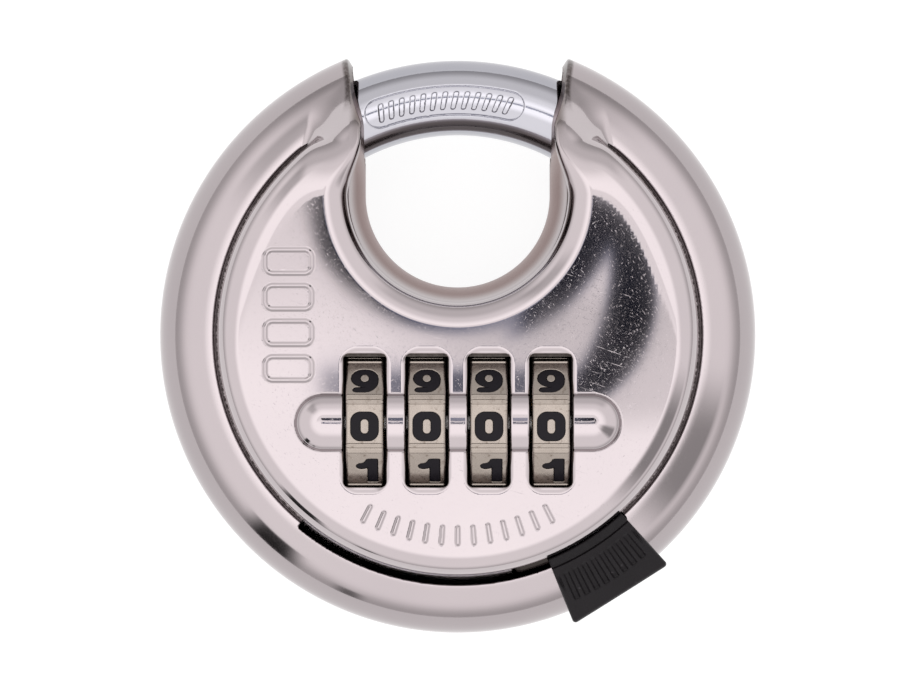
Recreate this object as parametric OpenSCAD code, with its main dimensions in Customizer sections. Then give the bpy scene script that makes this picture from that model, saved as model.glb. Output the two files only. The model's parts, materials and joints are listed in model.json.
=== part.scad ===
// Disc padlock with four number wheels. Millimetres, Z out of the front face, Y towards the
// shackle, X to the right. The origin is on the disc's axis, in the plane of the flat back.

/* [Body] */
// Diameter of the round body
disc_d = 70; // [69.5:0.5:71]
// Thickness over the two flat faces
body_t = 25; // [24.5:0.5:25.5]
// Thickness of the shells' sheet steel
sheet = 1.3; // [1.1:0.1:1.4]
// Outside radius of the rim's tube
rim_r = 6.7; // [6.6:0.1:6.8]
// Radius of the step from the rim up to the raised face
drum_r = 27.8; // [27.6:0.1:27.8]
// Rounding between that step and the flat face
shoulder_r = 2.5; // [2:0.25:3]

/* [Opening for the staple] */
// Half the width of the opening at mid thickness
throat_r = 10.8; // [10.4:0.1:11]
// Distance of the opening's centre above the disc's axis
throat_y = 16.4; // [16.2:0.1:16.6]
// How much wider the opening is at the start of its rounded lip
throat_flare = 1.6; // [1:0.1:1.8]
// Rounding between the opening and the flat face
lip_r = 3; // [2.5:0.25:3]

/* [Shackle] */
// Diameter of the bar
bar_d = 8.8; // [8.4:0.1:9]
// Radius of the bar's centreline
bar_R = 27.85; // [27.8:0.05:27.9]
// Angle that the bar turns through to open
open_angle = 61; // [55:1:61]

/* [Number wheels] */
// Spacing of the wheels
dial_pitch = 7.15; // [7.1:0.05:7.2]
// Width of a wheel
dial_w = 4.3; // [4.1:0.1:4.4]
// Distance from a wheel's axis to its flat digit faces
dial_flat = 8.8; // [8.6:0.1:8.9]
// Width of a window
window_w = 5; // [5:0.1:5.2]
// Length of a window
window_l = 15.4; // [15.4:0.1:15.8]

/* [Bolt] */
// How far the bolt draws back
bolt_travel = 2.4; // [2.3:0.05:2.4]
// Width and height of the bolt's nose
nose_w = 4; // [3.6:0.1:4]

/* [Hidden] */
$fn = 64;
eps = 0.01;
far = 60;

mid = body_t / 2;
rim_R = disc_d / 2 - rim_r;
channel_r = rim_r - sheet;
bar_r = bar_d / 2;

// opening for the staple: heights are above mid thickness
throat_knee = 6;
crest = 0.1;
throat_lip = mid - lip_r + crest;
roll_y = 15.5;
roll_r = 9;
horn_y = 28.3;
horn_cut = 21;
horn_block = 9;

// number wheels and their windows
digits = 10;
dial_rim_rise = 0.5;
key_play = 0.1;
dial_y = -10.2;
dial_z = 17.6;
dial_tip = dial_flat + dial_rim_rise;
dial_x = [for (i = [0:3]) (i - 1.5) * dial_pitch];
window_y = -9.85;
window_corner = 0.7;
chamber_gap = 0.3;
chamber_r = dial_tip + 0.35;
separator_w = 0.9;

// raised bar across the windows
ridge_y = -10.1;
ridge_rise = 1.3;
ridge_half_w = 3.3;
ridge_half_l = 18.8;
ridge_r = (pow(ridge_half_w, 2) + pow(ridge_rise, 2)) / (2 * ridge_rise);

// slot for the thumb lever: angles are to the right of straight down
lever_at = 32.2;
lever_half = 10.3;
lever_gap = 0.4;
lever_rise = 2.7;
lever_end = [36, 5];
lever_low = 3;
stem_half = 10;
stem_r = [28, 28.9];
stem_low = 1.6;
stem_play = 0.2;
slot_from = lever_at - open_angle - stem_half - 1.1;
slot_to = lever_at + stem_half + 0.4;
slot_r = [27.8, 29.1];
rivet_r = 0.8;
rivet_h = 2.9;
rivet_l = 5;
rivet_in = 2.4;

// bar: angles are clockwise from straight up, seen from the front
bar_from = -28;
bar_to = 161;
bar_tip_l = 3;
bar_taper = 1.4;
tip_overlap = 0.5;
panel_from = -24.5;
panel_to = 17.8;
panel_r = [25.65, 29.15];
panel_depth = 0.3;
ramp_from = 47;
ramp_to = 123;
ramp_peak = 130;
ramp_offset = 2.8;
ramp_R = 23.35;
ramp_reach = [18, 30];
nose_play = 0.3;

// lock core
core_gap = 0.25;
core_wall_gap = 0.3;
core_throat_gap = 0.15;
core_R = bar_R - bar_r - core_gap;
core_step = 5.1;
core_top = mid - sheet - 0.1;
core_shoulder = 1.5;
core_drum_r = drum_r - sheet - core_wall_gap;
core_limb_y = 15;
spindle_r = 1.6;
spindle_bore = 1.7;
screw_at = [[18.5, 7], [-18.5, 7], [0, -21.4]];
screw_r = 1;
screw_head_r = 1.9;
screw_head_h = 1.2;
screw_end = 9;
screw_play = 0.1;
screw_slot = [0.5, 0.6];

// code sleeves and the spindle's fins
sleeve_r = 4.25;
sleeve_bore = 3.2;
flange_t = 0.8;
flange_bore = 1.75;
gate_w = 1.4;
fin_w = 1.1;
fin_r = 2.95;
fin_t = 0.8;
key_w = 0.9;
key_r = 5;
bore_gap = 0.05;

// spindle's two ends
collar_x = -15.1;
collar_t = 0.6;
collar_r = 2.3;
stub_x = -16.4;
pocket_x = -19;
pocket_r = 2.6;
shoulder_x = 16.9;
tip_x = 20.2;
tip_r = 1.15;
bolt_t = 2.3;
clip_t = 0.4;
clip_r = 2.2;
clip_neck = 0.85;
bolt_pocket_x = shoulder_x - bolt_travel - 0.1;
bolt_top = 19.6;

// leaf spring under the wheels
leaf_t = 0.4;
leaf_w = 3.2;
leaf_z = 5.2;
leaf_back_y = 0.4;
leaf_bend_y = -3;
leaf_top_z = 7.75;
leaf_pocket_y = [-15, 0.8];
leaf_pocket_half = 2 * dial_pitch - 0.4;
leaf_crest_half = 1;
leaf_root = 0.5;
leaf_rivet_x = [-8.9, 8.9];
leaf_rivet_y = -1.3;
leaf_rivet_r = 0.8;
leaf_hole_r = 0.85;
leaf_shank = [1.9, 0.3];
leaf_head = [1.4, 0.5];

// reset button in the back
reset_at = [-17.8, -3.2];
reset_r = 1.5;
reset_bore = 1.6;
reset_recess = 0.35;
reset_flange_r = 2.5;
reset_flange_z = 3.4;
reset_pocket_z = 9;
reset_pocket_r = 2.7;
reset_stem_l = 2.6;
reset_flange_t = 0.7;
reset_slot = [0.6, 0.5];

// coil springs: radius, wire radius and turns
coil_r = 2.05;
spindle_coil = [0.15, 4];
reset_coil = [0.2, 5];

steel = "#cfc7cb";
chrome_steel = "#c3c2cb";
nickel = "#bdb2a4";
zinc = "#9a9a9c";
brass_yellow = "#b89b5e";
black_plastic = "#231d22";

// ------------------------------------------------------------------ shared shapes

module at_mid() translate([0, 0, mid]) children();

// turns what is drawn along +Z at the wheels' axis so that it lies along +X
module on_spindle(x) translate([x, dial_y, dial_z]) rotate([0, 90, 0]) children();

module rod(r, from, to) on_spindle(from) cylinder(r = r, h = to - from);

module sector(r, from_cw, to_cw, h) {
    rotate_extrude(angle = to_cw - from_cw, start = 90 - to_cw)
        translate([r[0], h[0]]) square([r[1] - r[0], h[1] - h[0]]);
}

module ring_of(r) rotate_extrude() translate([rim_R, 0]) circle(r);

module rounded(size, r) {
    square([size.x, size.y - 2 * r], center = true);
    square([size.x - 2 * r, size.y], center = true);
    for (x = [-1, 1], y = [-1, 1])
        translate([x * (size.x / 2 - r), y * (size.y / 2 - r)]) circle(r);
}

// ------------------------------------------------------------------ shells
// Heights in this section are above mid thickness, and only the upper half is kept.

module drum(inset) {
    r = drum_r - inset;
    c = shoulder_r - inset;
    rotate_extrude() {
        translate([0, -1]) square([r, mid - inset - c + 1]);
        square([r - c, mid - inset]);
        translate([r - c, mid - inset - c]) circle(c);
    }
}

// limits the drum where it falls away towards the horns
module roll_off(inset) {
    rotate([90, 0, 90]) linear_extrude(2 * far, center = true) {
        translate([-far, -1]) square([far + roll_y, mid + 2]);
        translate([roll_y, mid - roll_r + 2 * crest]) circle(roll_r - inset);
    }
}

module throat_outline(grow) {
    lip_x = throat_r + throat_flare + lip_r;
    difference() {
        polygon([[0, -1], [throat_r + grow, -1], [throat_r + grow, throat_knee],
                 [throat_r + throat_flare + grow, throat_lip], [lip_x, throat_lip],
                 [lip_x, mid + 1], [0, mid + 1]]);
        translate([lip_x, throat_lip]) circle(lip_r - grow);
    }
}

module throat(grow) {
    translate([0, throat_y, 0]) {
        rotate_extrude() throat_outline(grow);
        rotate([90, 0, 180]) linear_extrude(far / 2) {
            throat_outline(grow);
            mirror([1, 0]) throat_outline(grow);
        }
    }
}

module horn_cuts() {
    for (side = [0, 1])
        mirror([side, 0, 0]) translate([throat_r, horn_y, -1]) rotate(-horn_cut)
            translate([-horn_block, 0, 0]) cube(horn_block);
}

module ridge(inset) {
    z = mid + ridge_rise - ridge_r;
    end_x = ridge_half_l - ridge_half_w;
    translate([0, ridge_y, z]) {
        rotate([0, 90, 0]) cylinder(r = ridge_r - inset, h = 2 * end_x, center = true);
        for (x = [-end_x, end_x]) translate([x, 0, 0]) sphere(ridge_r - inset);
    }
}

module half_outside() {
    intersection() {
        drum(0);
        roll_off(0);
    }
    ring_of(rim_r);
}

module half_inside() {
    difference() {
        intersection() {
            drum(sheet);
            roll_off(sheet);
        }
        throat(sheet);
    }
    ring_of(channel_r);
}

module lower_half() translate([-far, -far, -far]) cube([2 * far, 2 * far, far]);

module windows() {
    for (x = dial_x)
        translate([x, window_y, throat_knee]) linear_extrude(mid)
            rounded([window_w, window_l], window_corner);
}

module ridge_inside() {
    intersection() {
        ridge(sheet);
        translate([-far / 2, -far / 2, 1]) cube([far, far, mid]);
    }
}

module front_shell() {
    color(steel) at_mid() difference() {
        union() {
            half_outside();
            ridge(0);
        }
        throat(0);
        half_inside();
        ridge_inside();
        windows();
        sector(slot_r, 180 - slot_to, 180 - slot_from, [channel_r - 2, rim_r + 1.5]);
        horn_cuts();
        lower_half();
    }
}

module rear_shell() {
    color(steel) at_mid() mirror([0, 0, 1]) difference() {
        half_outside();
        throat(0);
        half_inside();
        translate([reset_at.x, reset_at.y, throat_knee]) cylinder(r = reset_bore, h = mid);
        horn_cuts();
        lower_half();
    }
}

// ------------------------------------------------------------------ lock core

module core_outline() {
    difference() {
        union() {
            cylinder(r = core_R, h = 2 * core_step, center = true);
            for (side = [0, 1]) mirror([0, 0, side]) {
                translate([0, 0, core_step])
                    cylinder(r = core_drum_r, h = core_top - core_step - core_shoulder);
                translate([0, 0, core_step])
                    cylinder(r = core_drum_r - core_shoulder, h = core_top - core_step);
            }
        }
        for (side = [0, 1]) mirror([0, 0, side]) throat(sheet + core_throat_gap);
        translate([-far, core_limb_y, -far]) cube([2 * far, far, 2 * far]);
    }
}

module chambers() {
    for (x = dial_x) rod(chamber_r, x - dial_w / 2 - chamber_gap, x + dial_w / 2 + chamber_gap);
    rod(spindle_bore, pocket_x, far / 2);
    rod(pocket_r, pocket_x, collar_x + collar_t + 0.1);
    translate([bolt_pocket_x, dial_y - nose_w / 2 - nose_play, mid - nose_w / 2 - nose_play])
        cube([far / 2, nose_w + 2 * nose_play, bolt_top - mid + nose_w / 2 + 2 * nose_play]);
}

module core_half(from, to) {
    intersection() {
        at_mid() core_outline();
        translate([-far, -far, from]) cube([2 * far, 2 * far, to - from]);
    }
}

module core_front() {
    color(zinc) difference() {
        core_half(dial_z, body_t);
        chambers();
        for (x = dial_x)
            translate([x - dial_w / 2 - chamber_gap, dial_y - window_l / 2, dial_z])
                cube([dial_w + 2 * chamber_gap, window_l, mid]);
        for (p = screw_at) translate([p.x, p.y, 0]) {
            cylinder(r = screw_r + screw_play, h = body_t);
            translate([0, 0, mid + core_top - screw_head_h])
                cylinder(r = screw_head_r + screw_play, h = mid);
        }
    }
}

module core_rear() {
    color(zinc) difference() {
        core_half(0, dial_z);
        chambers();
        translate([-leaf_pocket_half, leaf_pocket_y[0], leaf_z])
            cube([2 * leaf_pocket_half, leaf_pocket_y[1] - leaf_pocket_y[0], leaf_top_z - leaf_z + 1]);
        for (x = leaf_rivet_x)
            translate([x, leaf_rivet_y, leaf_z - leaf_shank[0] - 0.1]) cylinder(r = leaf_hole_r, h = 3);
        for (p = screw_at) translate([p.x, p.y, screw_end]) cylinder(r = screw_r, h = body_t);
        translate([reset_at.x, reset_at.y, 0]) {
            cylinder(r = reset_bore, h = mid / 2);
            translate([0, 0, reset_flange_z])
                cylinder(r = reset_pocket_r, h = reset_pocket_z - reset_flange_z);
        }
    }
}

module core_screws() {
    top = mid + core_top;
    end = screw_end + 2 * screw_play;
    color(steel) for (p = screw_at) translate([p.x, p.y, 0]) difference() {
        union() {
            translate([0, 0, end]) cylinder(r = screw_r, h = top - end - eps);
            translate([0, 0, top - screw_head_h]) cylinder(r = screw_head_r, h = screw_head_h - bore_gap);
        }
        translate([-screw_head_r, -screw_slot[0] / 2, top - screw_slot[1]])
            cube([2 * screw_head_r, screw_slot[0], 1]);
    }
}

// ------------------------------------------------------------------ shackle and thumb lever

module bar_arc(r, from_cw, to_cw) {
    rotate_extrude(angle = to_cw - from_cw, start = 90 - to_cw) translate([bar_R, 0]) circle(r);
}

// tapered end of the bar, pointing up the page before it is turned into place
module bar_tip() {
    rotate([-90, 0, 0]) translate([0, 0, -tip_overlap])
        cylinder(r1 = bar_r - 0.05, r2 = bar_r - bar_taper, h = bar_tip_l + tip_overlap);
}

module bar_solid() {
    bar_arc(bar_r, bar_from, bar_to);
    rotate(90 - bar_from) translate([bar_R, 0, 0]) bar_tip();
    rotate(90 - bar_to) translate([bar_R, 0, 0]) mirror([0, 1, 0]) bar_tip();
}

module panel_recess() {
    difference() {
        sector(panel_r, panel_from, panel_to, [1, bar_r + 1]);
        bar_arc(bar_r - panel_depth, bar_from, bar_to);
    }
}

// groove that lets the bolt's nose draw back steadily as the bar turns
module ramp() {
    h = nose_w / 2 + nose_play;
    intersection() {
        rotate(90 - ramp_peak) translate([ramp_offset, 0, -h]) cylinder(r = ramp_R, h = 2 * h);
        sector(ramp_reach, ramp_from, ramp_to, [-h, h]);
    }
}

module lever_pin(r, gap) {
    rotate(lever_at - 90) translate([bar_R - rivet_in - gap, 0, rivet_h]) rotate([0, 90, 0])
        cylinder(r = r, h = rivet_l + 2 * gap);
}

module shackle() {
    color(chrome_steel) at_mid() difference() {
        bar_solid();
        panel_recess();
        ramp();
        sector([stem_r[0] - bore_gap, stem_r[1] + bore_gap],
               180 - lever_at - stem_half - stem_play, 180 - lever_at + stem_half + stem_play,
               [stem_low - bore_gap, bar_r + 1]);
        lever_pin(rivet_r, bore_gap);
    }
}

module lever_outline() {
    top = rim_r + lever_rise;
    inner = stem_r[0];
    outer = lever_end.x;
    difference() {
        polygon([[inner, rim_r], [inner, top - 0.5], [inner + 0.5, top], [rim_R + 2, top],
                 [outer - 0.4, lever_end.y + 0.7], [outer, lever_end.y], [outer, lever_low],
                 [rim_R + 2, lever_low], [rim_R, rim_r]]);
        translate([rim_R, 0]) circle(rim_r + lever_gap);
    }
}

module thumb_lever() {
    color(black_plastic) at_mid() difference() {
        union() {
            rotate_extrude(angle = 2 * lever_half, start = -90 + lever_at - lever_half)
                lever_outline();
            sector(stem_r, 180 - lever_at - stem_half, 180 - lever_at + stem_half,
                   [stem_low, rim_r + 1.5]);
        }
        lever_pin(rivet_r + bore_gap, bore_gap);
    }
}

module lever_rivet() color(steel) at_mid() lever_pin(rivet_r, 0);

// ------------------------------------------------------------------ number wheels

module dial_wheel(i) {
    step = 360 / digits;
    color(nickel) on_spindle(dial_x[i] - dial_w / 2) difference() {
        union() {
            rotate(step / 2) cylinder(r = dial_flat / cos(step / 2), h = dial_w, $fn = digits);
            for (k = [0:digits - 1])
                rotate(step * (k + 0.5)) translate([dial_flat - 1, -separator_w / 2, 0])
                    cube([dial_tip - dial_flat + 1, separator_w, dial_w]);
        }
        translate([0, 0, -1]) cylinder(r = sleeve_r + bore_gap, h = dial_w + 2);
        for (k = [0:digits - 1])
            rotate(step * k) translate([0, -key_w / 2 - key_play, -1])
                cube([key_r + key_play, key_w + 2 * key_play, dial_w + 2]);
    }
}

module code_sleeve(i) {
    color(brass_yellow) on_spindle(dial_x[i] - dial_w / 2) difference() {
        union() {
            cylinder(r = sleeve_r, h = dial_w);
            translate([sleeve_bore + 0.2, -key_w / 2, 0]) cube([key_r - sleeve_bore - 0.2, key_w, dial_w]);
        }
        translate([0, 0, -1]) cylinder(r = sleeve_bore, h = dial_w / 2 - flange_t / 2 + 1);
        translate([0, 0, dial_w / 2 + flange_t / 2]) cylinder(r = sleeve_bore, h = dial_w);
        translate([0, 0, -1]) cylinder(r = flange_bore, h = dial_w + 2);
        translate([0, -gate_w / 2, -1]) cube([sleeve_bore, gate_w, dial_w + 2]);
    }
}

module dial_wheel_1() dial_wheel(0);
module dial_wheel_2() dial_wheel(1);
module dial_wheel_3() dial_wheel(2);
module dial_wheel_4() dial_wheel(3);
module code_sleeve_1() code_sleeve(0);
module code_sleeve_2() code_sleeve(1);
module code_sleeve_3() code_sleeve(2);
module code_sleeve_4() code_sleeve(3);

// ------------------------------------------------------------------ spindle and bolt

module spindle() {
    clip_x = shoulder_x + bolt_t;
    color(steel) difference() {
        union() {
            rod(spindle_r, stub_x, shoulder_x);
            rod(tip_r, shoulder_x - 1, tip_x);
            rod(collar_r, collar_x, collar_x + collar_t);
            for (x = dial_x)
                on_spindle(x + bolt_travel / 2 - fin_t / 2) translate([0, -fin_w / 2, 0])
                    cube([fin_r, fin_w, fin_t]);
        }
        difference() {
            rod(tip_r + 1, clip_x, clip_x + clip_t + 0.1);
            rod(clip_neck, clip_x - 1, clip_x + clip_t + 1);
        }
    }
}

module spindle_clip() {
    clip_x = shoulder_x + bolt_t + 0.05;
    color(steel) difference() {
        rod(clip_r, clip_x, clip_x + clip_t);
        rod(clip_neck, clip_x - 1, clip_x + 1);
        on_spindle(clip_x - 1) translate([-far, -clip_neck + 0.1, 0]) cube([far, 2 * clip_neck - 0.2, 2]);
    }
}

module locking_bolt() {
    low = mid - nose_w / 2;
    color(steel) difference() {
        translate([shoulder_x, dial_y - nose_w / 2, low]) union() {
            cube([bolt_t, nose_w, bolt_top - low]);
            intersection() {
                cube([far, nose_w, nose_w]);
                translate([bolt_travel - shoulder_x, -dial_y + nose_w / 2, -1])
                    cylinder(r = core_R, h = nose_w + 2);
            }
        }
        rod(tip_r + bore_gap, 0, far);
    }
}

// helix of n turns about +Z: rings of points joined into one closed tube
module coil(r, wire, turns, h) {
    per_turn = 20;
    sides = 8;
    rings = turns * per_turn;
    points = [for (i = [0:rings], j = [0:sides - 1])
              let (a = 360 * i / per_turn, b = 360 * j / sides, d = r + wire * cos(b))
              [d * cos(a), d * sin(a), wire + (h - 2 * wire) * i / rings + wire * sin(b)]];
    walls = [for (i = [0:rings - 1], j = [0:sides - 1])
             let (k = (j + 1) % sides)
             [i * sides + j, i * sides + k, (i + 1) * sides + k, (i + 1) * sides + j]];
    polyhedron(points, concat(walls, [[for (j = [sides - 1:-1:0]) j]],
                              [[for (j = [0:sides - 1]) rings * sides + j]]));
}

module spindle_spring() {
    color(steel) on_spindle(pocket_x + eps)
        coil(coil_r, spindle_coil[0], spindle_coil[1], collar_x - pocket_x - 2 * eps);
}

// ------------------------------------------------------------------ leaf spring under the wheels

module leaf_outline() {
    tip_y = dial_y - 2.4;
    top = leaf_top_z;
    half = leaf_crest_half;
    polygon([[leaf_back_y, leaf_z], [leaf_back_y, leaf_z + leaf_t], [leaf_bend_y, leaf_z + leaf_t],
             [dial_y + half, top], [dial_y - half, top], [tip_y, top - 0.5], [tip_y, top - 0.5 - leaf_t],
             [dial_y - half, top - leaf_t], [dial_y + half, top - leaf_t], [leaf_bend_y, leaf_z]]);
}

module detent_spring() {
    color(steel) difference() {
        union() {
            for (x = dial_x)
                translate([x - leaf_w / 2, 0, 0]) rotate([90, 0, 90]) linear_extrude(leaf_w) leaf_outline();
            translate([-1.75 * dial_pitch, leaf_bend_y + leaf_root, leaf_z])
                cube([3.5 * dial_pitch, leaf_back_y - leaf_bend_y - leaf_root, leaf_t]);
        }
        for (x = leaf_rivet_x) translate([x, leaf_rivet_y, 0]) cylinder(r = leaf_hole_r, h = mid);
    }
}

module detent_rivets() {
    color(steel) for (x = leaf_rivet_x) translate([x, leaf_rivet_y, leaf_z]) {
        translate([0, 0, -leaf_shank[0]])
            cylinder(r = leaf_rivet_r, h = leaf_shank[0] + leaf_t + leaf_shank[1]);
        translate([0, 0, leaf_t]) cylinder(r = leaf_head[0], h = leaf_head[1]);
    }
}

// ------------------------------------------------------------------ reset button

module reset_button() {
    color(brass_yellow) translate([reset_at.x, reset_at.y, 0]) difference() {
        union() {
            translate([0, 0, reset_recess]) cylinder(r = reset_r, h = reset_flange_z + reset_stem_l);
            translate([0, 0, reset_flange_z + bore_gap])
                cylinder(r = reset_flange_r, h = reset_flange_t);
        }
        translate([-reset_r, -reset_slot[0] / 2, 0])
            cube([2 * reset_r, reset_slot[0], reset_recess + reset_slot[1]]);
    }
}

module reset_spring() {
    from = reset_flange_z + bore_gap + reset_flange_t + eps;
    color(steel) translate([reset_at.x, reset_at.y, from])
        coil(coil_r, reset_coil[0], reset_coil[1], reset_pocket_z - from - eps);
}

front_shell();
rear_shell();
core_front();
core_rear();
core_screws();
shackle();
thumb_lever();
lever_rivet();
dial_wheel_1();
dial_wheel_2();
dial_wheel_3();
dial_wheel_4();
code_sleeve_1();
code_sleeve_2();
code_sleeve_3();
code_sleeve_4();
spindle();
spindle_clip();
locking_bolt();
spindle_spring();
detent_spring();
detent_rivets();
reset_button();
reset_spring();
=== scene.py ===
"""Disc padlock: the looks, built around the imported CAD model.

The shells, the bar, the number wheels and the thumb lever are implicit surfaces: each has a field, a
function of position that is negative inside the metal, and mesh_of() makes a closed mesh of it.
Fields work in millimetres, with x and y as in the CAD frame and h measured from mid thickness.
"""

import json
import math

import bmesh
import bpy
import numpy as np
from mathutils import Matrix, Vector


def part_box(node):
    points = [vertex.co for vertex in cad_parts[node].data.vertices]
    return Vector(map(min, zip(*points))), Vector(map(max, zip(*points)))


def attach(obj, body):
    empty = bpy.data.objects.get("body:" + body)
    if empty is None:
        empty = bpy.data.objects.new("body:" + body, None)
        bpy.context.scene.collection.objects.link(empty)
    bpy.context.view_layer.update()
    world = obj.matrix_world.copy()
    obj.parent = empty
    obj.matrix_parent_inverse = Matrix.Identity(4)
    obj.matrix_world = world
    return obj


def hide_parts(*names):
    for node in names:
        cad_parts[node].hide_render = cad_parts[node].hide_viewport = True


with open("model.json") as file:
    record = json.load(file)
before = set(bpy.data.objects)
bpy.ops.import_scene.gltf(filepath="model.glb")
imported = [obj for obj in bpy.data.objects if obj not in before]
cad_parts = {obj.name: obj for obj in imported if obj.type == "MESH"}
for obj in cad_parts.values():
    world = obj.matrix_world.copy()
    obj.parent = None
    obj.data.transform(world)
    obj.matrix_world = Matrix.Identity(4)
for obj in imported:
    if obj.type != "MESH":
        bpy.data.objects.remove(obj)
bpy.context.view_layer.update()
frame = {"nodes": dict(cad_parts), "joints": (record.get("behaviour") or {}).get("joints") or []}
MM = 0.001

# ---------------------------------------------------------------- sizes from the frame, in millimetres


def box_mm(node):
    low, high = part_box(node)
    return np.array(low) / MM, np.array(high) / MM


def joint_place(name):
    return np.array(next(j for j in frame["joints"] if j["name"] == name)["pos_m"]) / MM


REAR_HIGH = box_mm("rear_shell")[1]
BAR_LOW, BAR_HIGH = box_mm("shackle")
DISC_R = REAR_HIGH[0]
MID = REAR_HIGH[2]
BAR_RADIUS = (BAR_HIGH[2] - BAR_LOW[2]) / 2
BAR_R = BAR_HIGH[1] - BAR_RADIUS
DIALS = [joint_place(f"dial_{i}_spin") for i in range(1, 5)]
DIAL_W = np.ptp([corner[0] for corner in box_mm("dial_wheel_1")])

RIM_TUBE_R = 6.7
RIM_R = DISC_R - RIM_TUBE_R
LEVER_R = 28.45
LEVER_AT = 147.8
RIVET_H = 2.9

# ---------------------------------------------------------------- field tools


def smooth(t):
    t = np.clip(t, 0, 1)
    return t * t * (3 - 2 * t)


def round_max(a, b, r):
    """Intersection of two fields, with their shared edge rounded to radius r."""
    return np.minimum(-r, np.maximum(a, b)) + np.hypot(np.maximum(a + r, 0), np.maximum(b + r, 0))


def round_min(a, b, r):
    """Union of two fields, with a fillet of radius r in the corner between them."""
    return -round_max(-a, -b, r)


def rounded_box(u, v, half_u, half_v, r):
    """Distance from a flat rectangle with corner radius r."""
    u = np.abs(u) - half_u + r
    v = np.abs(v) - half_v + r
    return np.minimum(np.maximum(u, v), 0) + np.hypot(np.maximum(u, 0), np.maximum(v, 0)) - r


def segment(u, v, a, b):
    """Distance from the flat line between points a and b."""
    du, dv = b[0] - a[0], b[1] - a[1]
    t = np.clip(((u - a[0]) * du + (v - a[1]) * dv) / (du * du + dv * dv), 0, 1)
    return np.hypot(u - a[0] - t * du, v - a[1] - t * dv)


def clockwise(x, y):
    """Angle from straight up, clockwise seen from the front, in degrees."""
    return np.degrees(np.arctan2(x, y))


def turn_from(x, y, middle):
    """Degrees clockwise from the direction called middle, between -180 and 180."""
    return (clockwise(x, y) - middle + 180) % 360 - 180


def arc_box(x, y, middle, half_turn, radius, half_width, corner):
    """Distance from a rectangle bent round the axis, half_turn degrees to each side of middle."""
    along = np.radians(turn_from(x, y, middle)) * radius
    return rounded_box(along, np.hypot(x, y) - radius, math.radians(half_turn) * radius, half_width, corner)


# ---------------------------------------------------------------- meshing

BEND = math.cos(math.radians(2.25))
LEVEL_BEND = math.cos(math.radians(0.7))


def surface_nets(field, low, high, cell):
    """Closed quad mesh where the field crosses zero, as (points, quads)."""
    axes = [np.arange(a, b + cell, cell) for a, b in zip(low, high)]
    value = np.empty([len(a) for a in axes], np.float32)
    plane_x, plane_y = np.meshgrid(axes[0], axes[1], indexing="ij")
    for k, z in enumerate(axes[2]):
        value[:, :, k] = field(plane_x, plane_y, np.full_like(plane_x, z))
    inside = value < 0
    corner = [(i, j, k) for i in (0, 1) for j in (0, 1) for k in (0, 1)]
    part = [tuple(slice(o, n - 1 + o) for o, n in zip(c, value.shape)) for c in corner]
    count = sum(inside[p].astype(np.int8) for p in part)
    cells = np.argwhere((count > 0) & (count < 8))
    at = [value[tuple((cells + c).T)] for c in corner]
    total, hits = np.zeros((len(cells), 3)), np.zeros(len(cells))
    for a in range(8):
        for b in range(a + 1, 8):
            step = np.subtract(corner[b], corner[a])
            if np.abs(step).sum() != 1:
                continue
            cross = (at[a] < 0) != (at[b] < 0)
            t = np.where(cross, at[a] / np.where(cross, at[a] - at[b], 1), 0)
            total += cross[:, None] * (np.array(corner[a]) + t[:, None] * step)
            hits += cross
    points = np.array([a[0] for a in axes]) + (cells + total / hits[:, None]) * cell
    number = np.full([n - 1 for n in value.shape], -1, np.int64)
    number[tuple(cells.T)] = np.arange(len(cells))
    quads = []
    for axis in range(3):
        u, v = (axis + 1) % 3, (axis + 2) % 3
        ahead = np.moveaxis(inside, axis, 0)
        edges = np.argwhere(np.moveaxis(ahead[1:] != ahead[:-1], 0, axis))
        edges = edges[(edges[:, u] > 0) & (edges[:, v] > 0)]
        e_u, e_v = np.eye(3, dtype=int)[u], np.eye(3, dtype=int)[v]
        ring = [edges - e_u - e_v, edges - e_v, edges, edges - e_u]
        quad = np.stack([number[tuple(r.T)] for r in ring], axis=1)
        outward = inside[tuple(edges.T)]
        quads.append(np.where(outward[:, None], quad, quad[:, ::-1]))
    return points, np.concatenate(quads)


def gradient(field, p, step=0.03):
    """Unit normals and slopes of a field at points p."""
    g = np.empty_like(p)
    for k in range(3):
        a, b = p.copy(), p.copy()
        a[:, k] += step
        b[:, k] -= step
        g[:, k] = (field(*a.T) - field(*b.T)) / (2 * step)
    size = np.linalg.norm(g, axis=1)
    return g / np.maximum(size, 1e-9)[:, None], np.maximum(size, 0.3)


def settle(field, p, reach, rounds=3):
    """Moves points onto the surface, each by at most reach a round."""
    for _ in range(rounds):
        normal, size = gradient(field, p)
        p = p - normal * np.clip(field(*p.T) / size, -reach, reach)[:, None]
    return p


def refine(mesh, field):
    """Splits the faces that the surface bends across, and any slight bend where it is nearly level.

    A face's own normal counts too, for a groove whose two sides lie between its points.
    """
    normal, _ = gradient(field, get_points(mesh))
    bm = bmesh.new()
    bm.from_mesh(mesh)
    bm.normal_update()
    edges = set()
    for face in bm.faces:
        n = normal[[v.index for v in face.verts]]
        middle = n.mean(axis=0)
        bend = min((n @ middle / np.linalg.norm(middle)).min(), (n @ np.array(face.normal)).min())
        if bend < (LEVEL_BEND if abs(middle[2]) > 0.96 else BEND):
            edges.update(face.edges)
    bmesh.ops.subdivide_edges(bm, edges=list(edges), cuts=1, use_grid_fill=True)
    bmesh.ops.triangulate(bm, faces=[f for f in bm.faces if len(f.verts) > 4])
    bm.to_mesh(mesh)
    bm.free()


def get_points(mesh):
    p = np.empty(len(mesh.vertices) * 3)
    mesh.vertices.foreach_get("co", p)
    return p.reshape(-1, 3) / MM - [0, 0, MID]


def set_points(mesh, p):
    mesh.vertices.foreach_set("co", ((p + [0, 0, MID]) * MM).ravel())
    mesh.update()


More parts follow.
